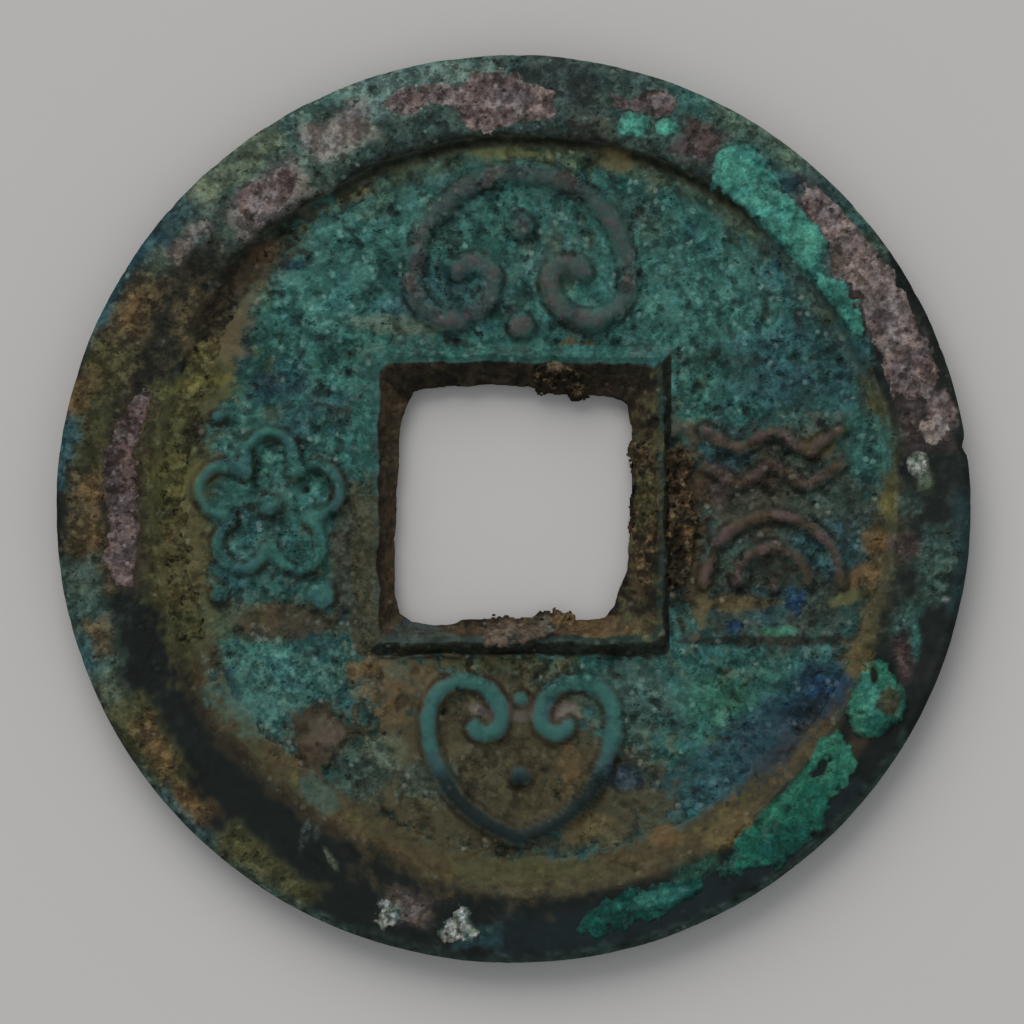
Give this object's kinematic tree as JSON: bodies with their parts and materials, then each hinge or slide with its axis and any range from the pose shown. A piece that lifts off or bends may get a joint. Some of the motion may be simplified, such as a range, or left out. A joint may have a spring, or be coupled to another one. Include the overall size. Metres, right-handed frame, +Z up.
{
  "type": "chinese cash coin",
  "caption": "Round cast bronze coin with a square string hole, raised rim and border, relief ornaments, and mineral crusts and earth from burial.",
  "frame": {"origin": "on the plane that the coin rests on, under the middle of the disc", "axes": "+Z up out of the obverse, through the thickness; +Y to the top of the obverse; +X to its right"},
  "size_m": [0.025, 0.025, 0.0014],
  "materials": {
    "bronze": "matte",
    "malachite": "matte",
    "cuprite": "matte",
    "calcite": "matte",
    "earth": "matte",
    "azurite": "matte",
    "corroded_bronze": "matte"
  },
  "bodies": {
    "root": {"coin_casting": "bronze", "malachite_upper_right": "malachite", "malachite_lower_right": "malachite", "malachite_bottom": "malachite", "malachite_knob": "malachite", "malachite_spot_wide": "malachite", "malachite_spot_narrow": "malachite", "cuprite_top": "cuprite", "cuprite_top_right": "cuprite", "cuprite_upper_left": "cuprite", "cuprite_left": "cuprite", "cuprite_right": "cuprite", "cuprite_spot": "cuprite", "calcite_bottom": "calcite", "calcite_lower_left": "calcite", "calcite_right": "calcite", "earth_left": "earth", "earth_bottom": "earth", "earth_right": "earth", "earth_upper_left": "earth", "earth_patch": "earth", "azurite_inner": "azurite", "azurite_outer": "azurite", "earth_on_hole_edge": "earth", "flake_on_hole_edge": "corroded_bronze", "crust_on_hole_edge": "earth", "crust_beside_hole": "earth"}
  },
  "joints": []
}
